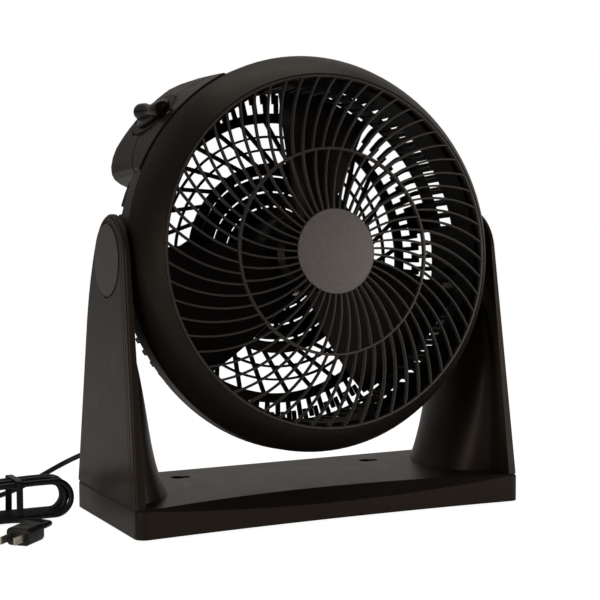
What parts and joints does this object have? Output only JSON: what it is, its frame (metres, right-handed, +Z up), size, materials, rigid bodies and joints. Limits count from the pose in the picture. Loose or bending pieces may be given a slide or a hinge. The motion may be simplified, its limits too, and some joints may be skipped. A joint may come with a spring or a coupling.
{
  "type": "air circulator fan",
  "caption": "Air circulator fan with a round ducted head that tilts between two arms on a wide flat base, with curved grille ribs, a speed knob and a tied power cord.",
  "frame": {"origin": "on the floor, under the middle of the base", "axes": "+Z up, the grille faces -Y, +X to the right when facing the grille"},
  "size_m": [0.5092, 0.2293, 0.4163],
  "materials": {
    "stand_plastic": "satin moulded plastic, warm near-black",
    "plate_plastic": "matte moulded plastic",
    "head_plastic": "satin moulded plastic, warm near-black",
    "drum_plastic": "matte moulded plastic",
    "grille_plastic": "satin moulded plastic",
    "cap_plastic": "satin moulded plastic, dark grey",
    "blade_plastic": "smooth moulded plastic",
    "knob_plastic": "satin moulded plastic",
    "dial_plastic": "satin moulded plastic",
    "foot_rubber": "matte rubber",
    "zinc_steel": "zinc-plated steel",
    "washer_nylon": "natural nylon",
    "motor_steel": "rolled and laminated steel",
    "winding_copper": "enamelled copper wire, varnished",
    "bush_bronze": "sintered bronze",
    "switch_plastic": "moulded plastic",
    "cord_rubber": "flexible cord jacket, satin black",
    "prong_brass": "plain brass"
  },
  "bodies": {
    "stand": {"base_shell": "stand_plastic", "base_plate": "plate_plastic", "rubber_feet": "foot_rubber", "base_screws": "zinc_steel", "arm_screws": "zinc_steel", "right_arm_frame": "stand_plastic", "left_arm_frame": "stand_plastic", "right_arm_cover": "stand_plastic", "left_arm_cover": "stand_plastic", "right_pivot_cap": "cap_plastic", "left_pivot_cap": "cap_plastic", "friction_washers": "washer_nylon", "spring_washers": "zinc_steel", "cord_gland": "cord_rubber", "cord_lead": "cord_rubber", "cord_hank": "cord_rubber", "cord_tail": "cord_rubber", "cord_tie": "cord_rubber", "plug_body": "cord_rubber", "plug_blades": "prong_brass"},
    "head": {"front_bezel": "head_plastic", "front_grille": "grille_plastic", "grille_cap": "cap_plastic", "fan_shroud": "drum_plastic", "rear_housing": "drum_plastic", "rear_grille": "drum_plastic", "bezel_screws": "zinc_steel", "rear_grille_screws": "zinc_steel", "pivot_bolts": "zinc_steel", "control_housing": "head_plastic", "control_fairing": "head_plastic", "control_screws": "zinc_steel", "dial_plate": "dial_plastic", "rotary_switch": "switch_plastic", "run_capacitor": "switch_plastic", "motor_rear_cover": "motor_steel", "motor_front_bracket": "motor_steel", "motor_screws": "zinc_steel", "stator_core": "motor_steel", "stator_windings": "winding_copper", "motor_bushes": "bush_bronze"},
    "fan": {"fan_blade": "blade_plastic", "blade_nut": "blade_plastic", "motor_shaft": "zinc_steel", "rotor_core": "motor_steel"},
    "knob": {"speed_knob": "knob_plastic", "switch_spindle": "switch_plastic"}
  },
  "joints": [
    {"name": "head_tilt", "type": "hinge", "parent": "stand", "child": "head", "pos_m": [0, 0, 0.234], "axis": [-1, 0, 0], "range_deg": [-20, 85]},
    {"name": "blade_spin", "type": "hinge", "parent": "head", "child": "fan", "pos_m": [0, 0, 0.234], "axis": [0, -0.9962, 0.0872], "continuous": true},
    {"name": "knob_turn", "type": "hinge", "parent": "head", "child": "knob", "pos_m": [-0.13195, 0.02226, 0.36222], "axis": [-0.7084, -0.0556, 0.7036], "range_deg": [0, 135]}
  ]
}
